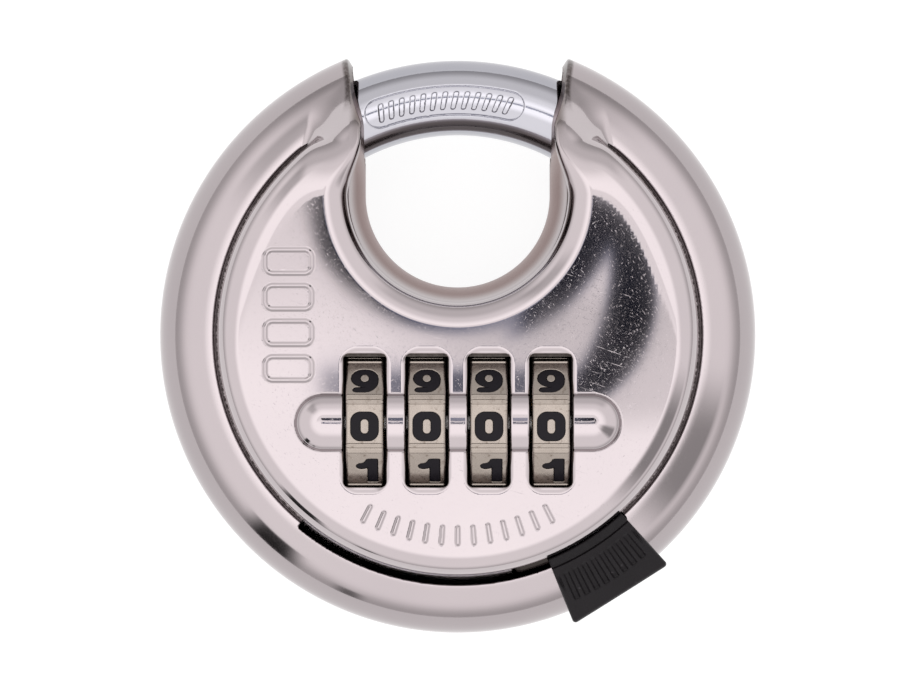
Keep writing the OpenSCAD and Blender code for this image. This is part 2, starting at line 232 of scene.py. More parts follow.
def mesh_of(name, field, low, high, cell, levels=1):
    """A new object with the closed surface of a field. Curved places are split, levels times over."""
    points, quads = surface_nets(field, low, high, cell)
    mesh = bpy.data.meshes.new(name)
    mesh.vertices.add(len(points))
    mesh.loops.add(quads.size)
    mesh.polygons.add(len(quads))
    mesh.loops.foreach_set("vertex_index", quads.ravel())
    mesh.polygons.foreach_set("loop_start", np.arange(0, quads.size, 4))
    mesh.update(calc_edges=True)
    set_points(mesh, settle(field, points, cell / 2))
    for level in range(levels):
        refine(mesh, field)
        set_points(mesh, settle(field, get_points(mesh), cell / 2 ** (level + 2)))
    normal, _ = gradient(field, get_points(mesh))
    mesh.polygons.foreach_set("use_smooth", np.ones(len(mesh.polygons), bool))
    mesh.normals_split_custom_set_from_vertices(normal)
    piece = bpy.data.objects.new(name, mesh)
    bpy.context.scene.collection.objects.link(piece)
    return piece


# ---------------------------------------------------------------- shells

SHEET = 1.3
SHEET_EDGE = 0.15
DRUM_R = 27.8
SHOULDER_R = 2.6
FRONT_SAG, BACK_SAG = 0.45, 0.06
ROLL_FROM, ROLL_R, ROLL_BEND, ROLL_EDGE = 16.0, 9.5, 0.18, 1.2
ROLL_PEAK, ROLL_FLAT = 15.5, 3
LIFT = ROLL_EDGE * (1 - math.sqrt(0.5))
HORN_TURN, HORN_FADE = 42, 14
HORN_FILLET = 5.0
GROOVE_OUT, GROOVE_R = 0.25, 0.38
THROAT_R = 10.8
THROAT_Y = 16.4
THROAT_FLARE = 1.6
LIP_R = 3.0
WINDOW_HALF = (2.5, 7.7)
WINDOW_Y = -9.85
WINDOW_CORNER, WINDOW_EDGE = 0.7, 0.14
DISH_GROW, DISH_CORNER, DISH_DEPTH, DISH_SLOPE = 0.5, 2.2, 0.22, 0.8
ORNAMENT_LINE, ORNAMENT_DEPTH, ORNAMENT_SLOPE = 0.2, 0.28, 0.32
RIDGE_Y = -10.1
RIDGE_HALF = 3.3
RIDGE_RISE = 1.3
RIDGE_END = 15.5
RIDGE_FOOT, RIDGE_FILLET = 0.12, 0.08
RIDGE_SQUARENESS = 2.5
SLOT_MIDDLE, SLOT_HALF, SLOT_HALF_WIDTH, SLOT_CORNER = 178.65, 41.25, 0.65, 0.4
SLOT_BOTTOM = 3
RESET_X, RESET_Y, RESET_R = -17.8, -3.2, 1.6


def windows_field(x, y, grow=0.0, corner=WINDOW_CORNER):
    """Distance from the four windows, or from a dish round each that is larger by grow."""
    u = np.min([np.abs(x - d[0]) for d in DIALS], axis=0)
    return rounded_box(u, y - WINDOW_Y, WINDOW_HALF[0] + grow, WINDOW_HALF[1] + 1.7 * grow, corner)


def ornament_field(x, y):
    """Distance from the pressed ornaments: a column of plain outlined bars, and ticks on an arc."""
    middle_x, middle_y, pitch = -19.5, 2.3, 4.1
    row = np.clip(np.floor((y - middle_y) / pitch) + 0.5, -1.5, 1.5)
    column = np.abs(rounded_box(x - middle_x, y - middle_y - row * pitch, 2.7, 1.35, 0.9)) - ORNAMENT_LINE
    arc_r, half_length, spacing, last = 23.1, 0.9, 4.5, 6
    r, angle = np.hypot(x, y), clockwise(x, -y)
    tick = np.clip(np.round(angle / spacing), -last, last)
    across = np.radians(angle - tick * spacing) * arc_r
    ticks = np.hypot(np.maximum(np.abs(r - arc_r) - half_length, 0), across) - ORNAMENT_LINE
    return np.minimum(column, ticks)


def smooth_face(x, y, sag):
    """Height of a face that falls by sag from its middle to the shoulder."""
    return MID - sag * (np.hypot(x, y) / DRUM_R) ** 2


def pressed_face(x, y):
    """The front face with the dishes round the windows and the ornaments pressed in."""
    dish = windows_field(x, y, DISH_GROW, DISH_CORNER)
    face = smooth_face(x, y, FRONT_SAG) - DISH_DEPTH * smooth(-dish / DISH_SLOPE)
    return face - ORNAMENT_DEPTH * smooth(0.5 - ornament_field(x, y) / ORNAMENT_SLOPE)


def drum_field(x, y, side, face):
    """The raised drum: flat with a round shoulder, and rolled down towards the horns.

    Rounding the two together lowers a flat face, and LIFT makes up for that.
    """
    u, v = np.hypot(x, y) - DRUM_R + SHOULDER_R, side - face - LIFT + SHOULDER_R
    drum = np.minimum(np.maximum(u, v), 0) + np.hypot(np.maximum(u, 0), np.maximum(v, 0)) - SHOULDER_R
    off_peak = np.maximum(np.abs(x) - ROLL_PEAK, -ROLL_FLAT)
    fall = np.maximum(y - ROLL_FROM + ROLL_BEND * off_peak ** 2, 0) / np.hypot(1, 2 * ROLL_BEND * off_peak)
    roll = np.hypot(fall, np.maximum(side - MID - LIFT + ROLL_R, 0)) - ROLL_R
    return round_max(drum, roll, ROLL_EDGE)


def ridge_field(x, y, h):
    """The long raised bar that the windows cut through, squarer in section than an oval."""
    foot, top = smooth_face(x, y, FRONT_SAG) - RIDGE_FOOT, MID + RIDGE_RISE
    aside = np.hypot(np.maximum(np.abs(x) - RIDGE_END, 0), y - RIDGE_Y) / RIDGE_HALF
    above = np.maximum(h - foot, 0) / (top - foot)
    reach = (aside ** RIDGE_SQUARENESS + above ** RIDGE_SQUARENESS) ** (1 / RIDGE_SQUARENESS)
    return (reach - 1) * RIDGE_RISE


def with_opening(body, x, y, side):
    """Cuts the opening out: round at the bottom, straight above, wider at the faces and the mouth.

    up and out go from 0 to 1 along the straight part and near the mouth, where the lip gets thinner.
    """
    rho = np.where(y > THROAT_Y, np.abs(x), np.hypot(x, y - THROAT_Y))
    up, out = smooth((y - 16) / 7), smooth((y - 24) / 5)
    flare = THROAT_FLARE * np.clip(side / (MID - LIP_R), 0, 1.1) ** 1.5 * (1 - 0.8 * up)
    mouth = 0.05 * np.maximum(y - 26, 0) ** 2 + 0.9 * out * (side / 5) ** 1.5
    return round_max(body, THROAT_R + flare + mouth - rho, LIP_R - 2.4 * up - 0.3 * out)


def body_field(x, y, h, front):
    """The outside of both shells, as if the padlock were solid."""
    r, side = np.hypot(x, y), np.abs(h)
    horn = smooth((HORN_TURN - np.abs(clockwise(x, y))) / HORN_FADE)
    drum = drum_field(x, y, side, pressed_face(x, y) if front else smooth_face(x, y, BACK_SAG))
    tube = np.hypot(r - RIM_R, h) - RIM_TUBE_R
    body = round_min(drum, tube, 0.35 + HORN_FILLET * horn)
    groove = np.hypot(r - DRUM_R - GROOVE_OUT, side - RIM_TUBE_R) - GROOVE_R + 0.8 * horn
    body = round_max(body, -groove, SHEET_EDGE)
    if front:
        body = round_min(body, ridge_field(x, y, h), RIDGE_FILLET)
    return with_opening(body, x, y, side)


def channel_field(x, y, h):
    """The round way for the bar inside the rim."""
    return np.hypot(np.hypot(x, y) - RIM_R, h) - (RIM_TUBE_R - SHEET)


def shell_field(x, y, h, front):
    """One pressed shell: the body's skin on one side of mid thickness, with its cut-outs."""
    body = body_field(x, y, h, front)
    hollow = np.minimum(body + SHEET, channel_field(x, y, h))
    shell = round_max(body, -hollow, SHEET_EDGE)
    if front:
        shell = round_max(shell, -windows_field(x, y), WINDOW_EDGE)
        slot = arc_box(x, y, SLOT_MIDDLE, SLOT_HALF, LEVER_R, SLOT_HALF_WIDTH, SLOT_CORNER)
        shell = round_max(shell, -np.maximum(slot, SLOT_BOTTOM - h), SHEET_EDGE)
    return round_max(shell, -h if front else h, 0.1)


def front_field(x, y, h):
    return shell_field(x, y, h, True)


def rear_field(x, y, h):
    hole = np.hypot(x - RESET_X, y - RESET_Y) - RESET_R
    return round_max(shell_field(x, y, h, False), -np.maximum(hole, h + 5), 0.2)


def shells():
    steel = polished_steel()
    cell = 0.4
    front = mesh_of("front_shell_skin", front_field, (-36, -36, -0.6), (36, 34, 14.6), cell, 2)
    finish_piece(front, "housing", "front_shell", steel)
    rear = mesh_of("rear_shell_skin", rear_field, (-36, -36, -13.2), (36, 34, 0.6), cell, 2)
    finish_piece(rear, "housing", "rear_shell", steel)


# ---------------------------------------------------------------- bar

BAR_FROM, BAR_TO = -28, 161
BAR_MIDDLE, BAR_HALF = (BAR_FROM + BAR_TO) / 2, (BAR_TO - BAR_FROM) / 2
BAR_END, BAR_END_EDGE = 3, 1.2
PANEL_R, PANEL_MIDDLE, PANEL_HALF = 27.4, -3.35, 19.6
PANEL_HALF_WIDTH, PANEL_CORNER, PANEL_DEPTH = 1.72, 1.7, 0.38
RIB_PITCH, RIB_LAST, RIB_SLANT, RIB_SUNK = 1.25, 6, 0.25, 0.04
RAMP_PEAK, RAMP_SHIFT, RAMP_R, RAMP_HALF_WIDTH = 130, 2.8, 23.35, 2.3
RAMP_MIDDLE, RAMP_HALF = 85, 38
STEM_HALF, STEM_HALF_WIDTH = 10, 0.45
RIVET_R, RIVET_OUT, RIVET_HALF = 0.8, 27.95, 2.55


def lever_axes(x, y):
    """Distance out along the lever's middle line, and across it."""
    a = math.radians(LEVER_AT)
    return x * math.sin(a) + y * math.cos(a), x * math.cos(a) - y * math.sin(a)


def panel_field(x, y, h, tube):
    """The recess on the bar's front, and the row of plain ribs left standing in it."""
    off_middle = np.hypot(x, y) - PANEL_R
    along = np.radians(turn_from(x, y, PANEL_MIDDLE)) * PANEL_R
    outline = arc_box(x, y, PANEL_MIDDLE, PANEL_HALF, PANEL_R, PANEL_HALF_WIDTH, PANEL_CORNER)
    rib = np.clip(np.round(along / RIB_PITCH), -RIB_LAST, RIB_LAST)
    slant = RIB_SLANT * off_middle
    ribs = rounded_box(along - slant - rib * RIB_PITCH, off_middle, 0.26, 1.0, 0.2)
    sunk = np.maximum(outline, -(tube + PANEL_DEPTH))
    standing = np.maximum(ribs, tube + RIB_SUNK)
    return np.maximum(sunk, 1 - h), standing


def ramp_field(x, y, h):
    """The long ramp along the bar's inner side, which pushes the bolt back."""
    peak = math.radians(RAMP_PEAK)
    from_ramp = np.hypot(x - RAMP_SHIFT * math.sin(peak), y - RAMP_SHIFT * math.cos(peak)) - RAMP_R
    ramp = np.maximum(from_ramp, np.abs(h) - RAMP_HALF_WIDTH)
    return np.maximum(ramp, np.radians(np.abs(turn_from(x, y, RAMP_MIDDLE)) - RAMP_HALF) * BAR_R)


def bar_field(x, y, h):
    tube = np.hypot(np.hypot(x, y) - BAR_R, h) - BAR_RADIUS
    beyond = np.radians(np.abs(turn_from(x, y, BAR_MIDDLE)) - BAR_HALF) * BAR_R - BAR_END
    bar = round_max(tube, beyond, BAR_END_EDGE)
    recess, standing = panel_field(x, y, h, tube)
    bar = round_min(round_max(bar, -recess, 0.15), standing, 0.12)
    bar = round_max(bar, -ramp_field(x, y, h), 0.1)
    out, across = lever_axes(x, y)
    stem = arc_box(x, y, LEVER_AT, STEM_HALF + 0.2, LEVER_R, STEM_HALF_WIDTH + 0.05, 0.05)
    stem = np.maximum(stem, 1.55 - h)
    rivet = np.maximum(np.hypot(across, h - RIVET_H) - RIVET_R, np.abs(out - RIVET_OUT) - RIVET_HALF)
    return round_max(bar, -np.minimum(stem, rivet), 0.05)


def bar():
    low, high = BAR_LOW - [0, 0, MID] - 0.6, BAR_HIGH - [0, 0, MID] + 0.6
    piece = mesh_of("shackle_bar", bar_field, low, high, 0.28, 2)
    finish_piece(piece, "shackle", "shackle", chrome())


# ---------------------------------------------------------------- thumb lever

LEVER_HALF = 10.3
GRIP_R, GRIP_FROM, GRIP_TO, GRIP_TOP = 32, 28, 35.75, 9.4
STEP_R, STEP_DEPTH = 29.3, 0.45
SLOPE_FROM, SLOPE_OUT, SLOPE_UP = 30.3, 0.5728, 0.8197
GRIP_RIB_TURN, GRIP_RIB_LAST, GRIP_RIB_HALF, GRIP_RIB_DEPTH = 2.2, 4, 0.14, 0.3
GRIP_RIBS_FROM, GRIP_RIBS_TO, GRIP_RIBS_ASIDE = 29.9, 33.9, 5.4
GRIP_GAP = 0.4


def grip_grooves(r, across):
    """Depth of the grooves between the grip's ribs."""
    pitch = math.radians(GRIP_RIB_TURN) * GRIP_R
    rib = np.clip(np.round(across * GRIP_R / (r * pitch)), -GRIP_RIB_LAST, GRIP_RIB_LAST)
    off_rib = np.abs(across * GRIP_R / r - rib * pitch)
    ends = smooth((r - GRIP_RIBS_FROM) / 0.5) * smooth((GRIP_RIBS_TO - r) / 0.5)
    aside = smooth((GRIP_RIBS_ASIDE - np.abs(across)) / 0.3)
    return GRIP_RIB_DEPTH * ends * smooth((off_rib - GRIP_RIB_HALF) / 0.3) * aside


def lever_field(x, y, h):
    """A ribbed grip that slopes down over the rim, on a stem with a hole for the rivet."""
    r = np.hypot(x, y)
    out, across = lever_axes(x, y)
    top = h - GRIP_TOP + STEP_DEPTH * smooth((STEP_R - r) / 0.2)
    slope = (r - SLOPE_FROM) * SLOPE_OUT + (h - GRIP_TOP) * SLOPE_UP
    grip = round_max(np.maximum(top, -9), slope, 0.8) + grip_grooves(r, across)
    half = math.radians(LEVER_HALF)
    side = np.abs(across) * math.cos(half) - out * math.sin(half)
    grip = round_max(grip, round_max(side, out - GRIP_TO, 0.5), 0.35)
    under = RIM_TUBE_R + GRIP_GAP - np.hypot(r - RIM_R, h)
    grip = round_max(grip, np.maximum(under, 3 - h), 0.2)
    grip = round_max(grip, GRIP_FROM - r, 0.2)
    stem = arc_box(x, y, LEVER_AT, STEM_HALF, LEVER_R, STEM_HALF_WIDTH, 0.1)
    stem = np.maximum(stem, np.abs(h - 4.9) - 3.3)
    hole = np.hypot(across, h - RIVET_H) - RIVET_R - 0.05
    return round_max(np.minimum(grip, stem), -hole, 0.05)


def thumb_lever():
    turn = math.radians(LEVER_AT)
    middle = np.array([math.sin(turn), math.cos(turn)]) * GRIP_R
    low, high = np.append(middle - 8, 1), np.append(middle + 8, 10)
    piece = mesh_of("thumb_lever_grip", lever_field, low, high, 0.2)
    finish_piece(piece, "shackle", "thumb_lever", black_plastic())


# ---------------------------------------------------------------- number wheels

DIAL_FLAT = 8.8
DIAL_SIDES = 10
HALF_FACET = 180 / DIAL_SIDES
DIGIT_DROP = 0.3
DIGIT_STRETCH = 1.42
DIGIT_DEPTH = 0.3
CORNER_BAR_OUT, CORNER_GROOVE_OUT = 8.5, 9.3
BORE_R, KEYWAY_R, KEYWAY_HALF = 4.3, 5.1, 0.55


def arc(cx, cy, rx, ry, start, end, steps=12):
    """Points on an oval, with angles in degrees anticlockwise from the right."""
    turns = np.radians(np.linspace(start, end, steps + 1))
    return [(cx + rx * math.cos(t), cy + ry * math.sin(t)) for t in turns]


def digit_strokes(digit):
    """The centre lines of a plain bold digit, drawn narrow: digit_field() widens them."""
    if digit == 1:
        return [[(0.66, 2), (0.66, -2)], arc(-0.28, 1.8, 0.85, 1.2, -20, -90, 5)]
    if digit == 2:
        return [arc(0, 0.5, 0.68, 0.75, 165, -35) + [(-0.6, -1.22), (0.7, -1.22)]]
    if digit == 3:
        return [arc(0, 0.62, 0.6, 0.62, 150, -90), arc(0, -0.6, 0.68, 0.64, 90, -150)]
    if digit == 4:
        return [[(0.35, -2), (0.35, 1.22), (-0.72, -0.45), (0.8, -0.45)]]
    if digit == 5:
        return [[(0.62, 1.22), (-0.5, 1.22), (-0.56, 0.2)] + arc(0, -0.45, 0.68, 0.79, 125, -150)]
    if digit == 7:
        return [[(-0.7, 1.22), (0.7, 1.22), (-0.15, -2)]]
    if digit == 8:
        return [arc(0, 0.64, 0.56, 0.6, 0, 360), arc(0, -0.6, 0.68, 0.64, 0, 360)]
    tail = [(0.73, 0.36)] + arc(-0.15, 0, 0.88, 1.28, 0, -80, 8) + [(-0.6, -1.26)]
    nine = [arc(0, 0.38, 0.73, 0.90, 0, 360, 16), tail]
    if digit == 9:
        return nine
    return [[(-u, -v) for u, v in line] for line in nine]


def digit_field(digit, u, v):
    if digit == 0:
        return round_max(rounded_box(u, v, 1.62, 1.68, 1.15), -rounded_box(u, v, 0.46, 0.84, 0.44), 0.05)
    half = 0.38 if digit in (6, 9) else 0.42
    reach = np.full(u.shape, 9.0)
    for line in digit_strokes(digit):
        for a, b in zip(line, line[1:]):
            reach = np.minimum(reach, segment(u / DIGIT_STRETCH, v, a, b))
    return round_max(reach - half, np.abs(v) - 1.66, 0.12)


def on_wheel(x, y, h):
    """Place on a wheel: across it, up the nearest facet, out from the axle, and the facet's digit."""
    dial = DIALS[0]
    v, w = y - dial[1], h - dial[2] + MID
    phi = np.degrees(np.arctan2(v, w))
    facet = np.round(phi / (2 * HALF_FACET))
    fold = np.radians(phi - 2 * HALF_FACET * facet)
    rr = np.hypot(v, w)
    return x - dial[0], rr * np.sin(fold), rr * np.cos(fold), (-facet) % DIAL_SIDES


def all_digits(u, v, facet):
    reach = np.full(u.shape, 5.0)
    for digit in range(DIAL_SIDES):
        here = facet == digit
        if here.any():
            reach[here] = digit_field(digit, u[here], v[here] + DIGIT_DROP)
    return reach


def corner_fields(v, out):
    """The raised bar along each corner between two facets, and the fine groove on top of it."""
    half = math.radians(HALF_FACET)
    off_corner = (DIAL_FLAT * math.tan(half) - np.abs(v)) * math.cos(half)
    height = np.hypot(v, out) * np.cos(np.abs(np.arctan2(v, out)) - half)
    bar = rounded_box(off_corner, height - CORNER_BAR_OUT, 0.56, 0.72, 0.12)
    groove = rounded_box(off_corner, height - CORNER_GROOVE_OUT, 0.09, 0.12, 0.02)
    return bar, groove


def wheel_field(x, y, h):
    u, v, out, facet = on_wheel(x, y, h)
    bar, groove = corner_fields(v, out)
    wheel = round_min(out - DIAL_FLAT, bar, 0.08)
    wheel = round_max(wheel, -groove, 0.04)
    recess = np.maximum(all_digits(u, v, facet), DIAL_FLAT - DIGIT_DEPTH - out)
    wheel = round_max(wheel, -recess, 0.05)
    wheel = round_max(wheel, np.abs(u) - DIAL_W / 2, 0.3)
    rr = np.hypot(v, out)
    bore = np.minimum(rr - BORE_R, np.maximum(np.abs(v) - KEYWAY_HALF, rr - KEYWAY_R))
    return round_max(wheel, -bore, 0.08)


def ink_field(x, y, h):
    """The black filling, just clear of its recess and a little below the facet."""
    u, v, out, facet = on_wheel(x, y, h)
    clearance, middle, half_depth = 0.015, 0.18, 0.11
    shape = all_digits(u, v, facet) + clearance
    return round_max(shape, np.abs(out - DIAL_FLAT + middle) - half_depth, 0.03)


def number_wheels():
    reach = np.array([DIAL_W / 2 + 0.3, 9.7, 9.7])
    middle = DIALS[0] - [0, 0, MID]
    wheel = mesh_of("dial_1_rim", wheel_field, middle - reach, middle + reach, 0.16, 1)
    ink = mesh_of("dial_1_ink", ink_field, middle - reach, middle + reach, 0.1, 0)
    for i, dial in enumerate(DIALS):
        for first, made_of, slot in ((wheel, nickel(), "nickel_wheel"), (ink, digit_ink(), "black_plastic")):
            piece = first
            if i:
                piece = bpy.data.objects.new(first.name.replace("_1_", f"_{i + 1}_"), first.data)
                bpy.context.scene.collection.objects.link(piece)
                piece.location.x = (dial[0] - DIALS[0][0]) * MM
            hidden = f"dial_wheel_{i + 1}" if first is wheel else None
            finish_piece(piece, f"dial_{i + 1}", hidden, made_of)


def finish_piece(piece, body, node, made_of):
    """Gives a new piece its material and body, and hides the CAD node that it stands for."""
    if not piece.data.materials:
        piece.data.materials.append(made_of)
    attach(piece, body)
    if node:
        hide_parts(node)


# ---------------------------------------------------------------- materials


class Graph:
    """Short calls for building a node tree."""

    def __init__(self, tree):
        self.tree = tree

    def node(self, kind, inputs=(), **settings):
        made = self.tree.nodes.new("ShaderNode" + kind)
        for key, value in settings.items():
            setattr(made, key, value)
        for key, value in dict(inputs).items():
            self.put(made.inputs[key], value)
        return made

    def put(self, socket, value):
        if isinstance(value, bpy.types.NodeSocket):
            self.tree.links.new(value, socket)
        else:
            socket.default_value = value

    def math(self, operation, *values):
        return self.node("Math", enumerate(values), operation=operation).outputs[0]

    def plus(self, a, b):
        return self.math("ADD", a, b)

    def minus(self, a, b):
        return self.math("SUBTRACT", a, b)

    def most(self, a, b):
        return self.math("MAXIMUM", a, b)

    def length(self, a, b):
        """Length of the flat vector (a, b)."""
        return self.math("SQRT", self.plus(self.times(a, a), self.times(b, b)))

    def times(self, *values):
        total = values[0]
        for value in values[1:]:
            total = self.math("MULTIPLY", total, value)
        return total

    def step(self, value, start, end, low=0.0, high=1.0):
        """Goes smoothly from low to high as value goes from start to end."""
        inputs = {"Value": value, "From Min": start, "From Max": end, "To Min": low, "To Max": high}
        return self.node("MapRange", inputs, interpolation_type="SMOOTHSTEP").outputs[0]

    def mix(self, amount, a, b):
        made = self.node("Mix", {"Factor": amount}, data_type="RGBA")
        self.put(made.inputs[6], a)
        self.put(made.inputs[7], b)
        return made.outputs[2]

    def noise(self, vector, scale, detail=2.0, roughness=0.5):
        inputs = {"Vector": vector, "Scale": scale, "Detail": detail, "Roughness": roughness}
        return self.node("TexNoise", inputs).outputs["Fac"]

    def streaks(self, vector, size, turn, scale):
        """Fine lines along one direction: noise drawn out by size, then turned about Z."""
        inputs = {"Vector": vector, "Rotation": (0, 0, math.radians(turn)), "Scale": size}
        placed = self.node("Mapping", inputs, vector_type="TEXTURE").outputs[0]
        return self.noise(placed, scale, 3.0, 0.6)

    def bump(self, height, distance, strength=1.0):
        inputs = {"Height": height, "Distance": distance, "Strength": strength}
        return self.node("Bump", inputs).outputs[0]


def material(name, metallic, specular=0.5):
    """A new material, its graph, its shader's inputs and its object coordinates."""
    made = bpy.data.materials.new(name)
    made.use_nodes = True
    graph = Graph(made.node_tree)
    shader = made.node_tree.nodes["Principled BSDF"].inputs
    shader["Metallic"].default_value = metallic
    shader["Specular IOR Level"].default_value = specular
    return made, graph, shader, graph.node("TexCoord").outputs["Object"]


def once(build):
    """Builds a material at the first call and returns the same one after that."""
    def kept():
        if not hasattr(build, "made"):
            build.made = build()
        return build.made
    return kept


def steel_scratches(g, at):
    """Short rubbed lines in two directions and a few long ones, from 0 to 1."""
    lines = g.streaks(at, (1, 4, 1), 35, 9000)
    cross = g.streaks(at, (1, 5, 1), -50, 8000)
    long = g.streaks(at, (1, 45, 1), 72, 6000)
    marks = g.most(g.step(lines, 0.64, 0.78), g.step(cross, 0.66, 0.80))
    return g.most(marks, g.step(long, 0.70, 0.78))


def groove_dirt_and_shade(g, fine, y, radius, side):
    """Where the foot of the step between drum and rim is darkened: painted shade in the groove, with dirt in
    it.
    """
    from_groove = g.math("ABSOLUTE", g.minus(radius, (DRUM_R + 0.15) * MM))
    deep = g.times(g.step(from_groove, 0.45 * MM, 0.1 * MM), g.step(side, 7.8 * MM, 7.0 * MM))
    return g.times(deep, g.step(fine, 0.3, 0.6, 0.5, 1.0), g.step(y, 24.5 * MM, 21 * MM))


def opening_wall_shade(g, x, y, side):
    """Where the steel is the upright wall of the opening, which is painted darker and browner: painted
    shade.
    """
    up = g.most(0, g.minus(THROAT_Y * MM, y))
    return g.times(g.step(g.length(x, up), 12.8 * MM, 11.6 * MM), g.step(side, 11.5 * MM, 9.5 * MM))


def tube_inside_shade(g, y, radius, side):
    """Where the steel is the inside of the bar's channel, near the horns, which is painted dark: painted
    shade.
    """
    from_middle = g.length(g.minus(radius, RIM_R * MM), side)
    inner = g.step(from_middle, (RIM_TUBE_R - 0.15) * MM, (RIM_TUBE_R - 0.45) * MM)
    return g.times(inner, g.step(y, 14 * MM, 17 * MM), 0.85)


def mouth_cut_and_shade(g, fine, x, y, side):
    """Where the sheet's cut edge shows at the horns' mouths, which widen upwards and to the faces: darkened
    as the raw cut edge, with painted shade in the gap behind it.
    """
    along = g.most(0, g.minus(y, 26 * MM))
    spread = g.plus(g.times(along, along, 50), g.times(g.math("POWER", side, 1.5), 2.55))
    from_mouth = g.minus(g.minus(g.math("ABSOLUTE", x), THROAT_R * MM), spread)
    cut = g.times(g.step(from_mouth, 1.0 * MM, 0.5 * MM), g.step(y, 25.5 * MM, 28.5 * MM))
    return g.times(cut, g.step(fine, 0.3, 0.6, 0.6, 0.95))


@once
def polished_steel():
    made, g, shader, at = material("polished_steel", 1.0)
    cloud = g.noise(at, 60, 3.0)
    fine = g.noise(at, 2600, 3.0, 0.65)
    marks = steel_scratches(g, at)
    patch = g.step(g.noise(at, 220, 4.0, 0.6), 0.42, 0.68)
    x, y, z = g.node("SeparateXYZ", {"Vector": at}).outputs
    radius = g.length(x, y)
    side = g.math("ABSOLUTE", g.minus(z, MID * MM))
    dirt_and_shade = groove_dirt_and_shade(g, fine, y, radius, side)
    wall = opening_wall_shade(g, x, y, side)
    rim = g.times(g.step(radius, 30.8 * MM, 33.0 * MM), 0.3)

    tone = g.mix(cloud, (0.44, 0.40, 0.412, 1), (0.49, 0.445, 0.452, 1))
    # Painted shade: the steel darkens towards the outer rim, for a dimmer reflection there.
    tone = g.mix(rim, tone, (0.20, 0.175, 0.18, 1))
    # Painted shade: the upright wall of the opening is darkened and browned.
    tone = g.mix(g.times(wall, 0.9), tone, (0.17, 0.145, 0.135, 1))
    # Painted shade: the inside of the bar's channel near the horns is darkened.
    tone = g.mix(tube_inside_shade(g, y, radius, side), tone, (0.08, 0.065, 0.06, 1))
    # The raw cut edge at the horns' mouths, with painted shade in the gap behind it, darkens the steel here.
    tone = g.mix(mouth_cut_and_shade(g, fine, x, y, side), tone, (0.09, 0.075, 0.07, 1))
    # Painted shade with dirt: the groove at the foot of the drum is darkened.
    g.put(shader["Base Color"], g.mix(dirt_and_shade, tone, (0.05, 0.04, 0.038, 1)))
    # Painted shade: the wall of the opening also reflects with a brownish tint.
    g.put(shader["Specular Tint"], g.mix(wall, (1, 1, 1, 1), (0.74, 0.63, 0.62, 1)))

    off_face = g.minus(1, g.step(side, 11.2 * MM, 12.0 * MM))
    rough = g.plus(g.step(cloud, 0.35, 0.65, 0.03, 0.05), g.times(marks, patch, 0.07))
    rough = g.plus(rough, g.times(patch, g.step(fine, 0.5, 0.75), 0.035))
    rough = g.plus(rough, g.times(off_face, 0.05))
    rough = g.plus(rough, g.times(wall, 0.12))
    g.put(shader["Roughness"], g.plus(rough, g.times(dirt_and_shade, 0.35)))

    ring = g.node("CombineXYZ", {"X": radius, "Y": g.times(side, 0.6)}).outputs[0]
    spun = g.times(g.noise(ring, 900, 4.0, 0.6), g.step(radius, 27.5 * MM, 29 * MM))
    height = g.plus(g.times(spun, 2.2), g.times(marks, -0.5))
    g.put(shader["Normal"], g.bump(height, 0.003 * MM))
    return made


@once
def chrome():
    made, g, shader, at = material("chrome", 1.0)
    cloud = g.noise(at, 90, 3.0)
    fine = g.noise(at, 1800, 3.0, 0.6)
    specks = g.step(g.noise(at, 3800, 2.0, 0.5), 0.66, 0.74)
    x, y, _ = g.node("SeparateXYZ", {"Vector": at}).outputs
    # Painted shade: the bar's end past the lever, seen in the slot, is painted near black.
    slot_shade = g.step(g.math("ARCTAN2", x, y), math.radians(156), math.radians(158))
    # Painted shade: the bar darkens towards its outer side, which lies in the shadowed gap inside the rim.
    outer_shade = g.times(g.step(g.length(x, y), 30.0 * MM, 31.2 * MM), 0.5)
    tone = g.mix(cloud, (0.46, 0.465, 0.505, 1), (0.54, 0.54, 0.58, 1))
    tone = g.mix(outer_shade, tone, (0.24, 0.235, 0.265, 1))
    g.put(shader["Base Color"], g.mix(slot_shade, tone, (0.03, 0.026, 0.024, 1)))
    g.put(shader["Roughness"], g.plus(g.step(fine, 0.3, 0.7, 0.04, 0.08), g.times(specks, 0.12)))
    g.put(shader["Normal"], g.bump(g.minus(fine, specks), 0.002 * MM))
    return made


@once
def nickel():
    made, g, shader, at = material("nickel", 1.0)
    cloud = g.noise(at, 500, 4.0, 0.6)
    fine = g.noise(at, 3200, 3.0, 0.6)
    stain = g.step(g.noise(at, 900, 5.0, 0.7), 0.56, 0.72)
    tone = g.mix(cloud, (0.44, 0.39, 0.345, 1), (0.34, 0.30, 0.265, 1))
    g.put(shader["Base Color"], g.mix(g.times(stain, 0.7), tone, (0.16, 0.12, 0.09, 1)))
    g.put(shader["Roughness"], g.plus(g.step(fine, 0.3, 0.7, 0.24, 0.36), g.times(stain, 0.2)))
    g.put(shader["Normal"], g.bump(g.minus(fine, stain), 0.006 * MM))
    return made


@once
def digit_ink():
    made, g, shader, at = material("digit_ink", 0.0, 0.15)
    fine = g.noise(at, 2400, 3.0, 0.6)
    g.put(shader["Base Color"], g.mix(fine, (0.005, 0.004, 0.006, 1), (0.012, 0.010, 0.014, 1)))
    g.put(shader["Roughness"], g.step(fine, 0.3, 0.7, 0.3, 0.5))
    g.put(shader["Normal"], g.bump(fine, 0.03 * MM))
    return made


